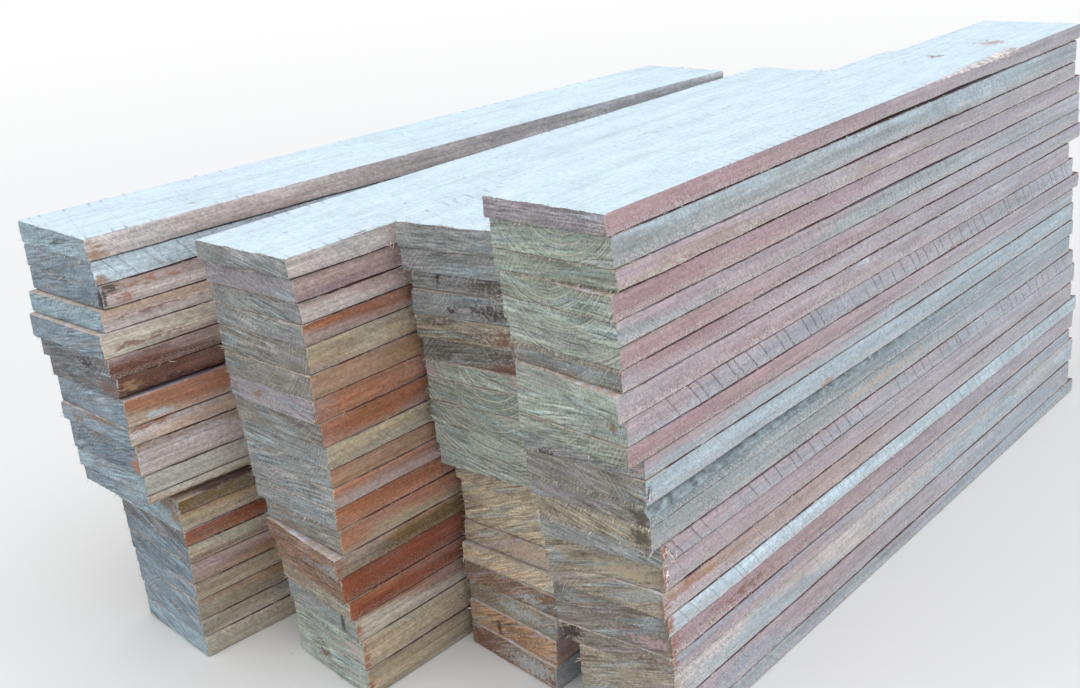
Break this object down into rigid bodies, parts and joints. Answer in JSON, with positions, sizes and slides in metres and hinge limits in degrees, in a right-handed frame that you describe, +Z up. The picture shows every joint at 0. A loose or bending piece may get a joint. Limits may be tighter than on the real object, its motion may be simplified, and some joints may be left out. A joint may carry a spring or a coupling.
{
  "type": "stack of lumber",
  "caption": "Rough-sawn hardwood boards stacked flat in side-by-side piles with uneven, stepped ends.",
  "frame": {"origin": "on the ground, under the centre of the stack's bounding box", "axes": "+X across the piles from the first to the fourth, +Y along the boards away from the near ends, +Z up"},
  "size_m": [0.7324, 1.4064, 0.606],
  "materials": {
    "rough_sawn_hardwood": "matte"
  },
  "bodies": {
    "root": {"course_01": "rough_sawn_hardwood", "course_02": "rough_sawn_hardwood", "course_03": "rough_sawn_hardwood", "course_04": "rough_sawn_hardwood", "course_05": "rough_sawn_hardwood", "course_06": "rough_sawn_hardwood", "course_07": "rough_sawn_hardwood", "course_08": "rough_sawn_hardwood", "course_09": "rough_sawn_hardwood", "course_10": "rough_sawn_hardwood", "course_11": "rough_sawn_hardwood", "course_12": "rough_sawn_hardwood", "course_13": "rough_sawn_hardwood", "course_14": "rough_sawn_hardwood", "course_15": "rough_sawn_hardwood", "course_16": "rough_sawn_hardwood", "course_17": "rough_sawn_hardwood", "course_18": "rough_sawn_hardwood", "course_19": "rough_sawn_hardwood", "course_20": "rough_sawn_hardwood", "course_21": "rough_sawn_hardwood", "course_22": "rough_sawn_hardwood", "course_23": "rough_sawn_hardwood"}
  },
  "joints": []
}
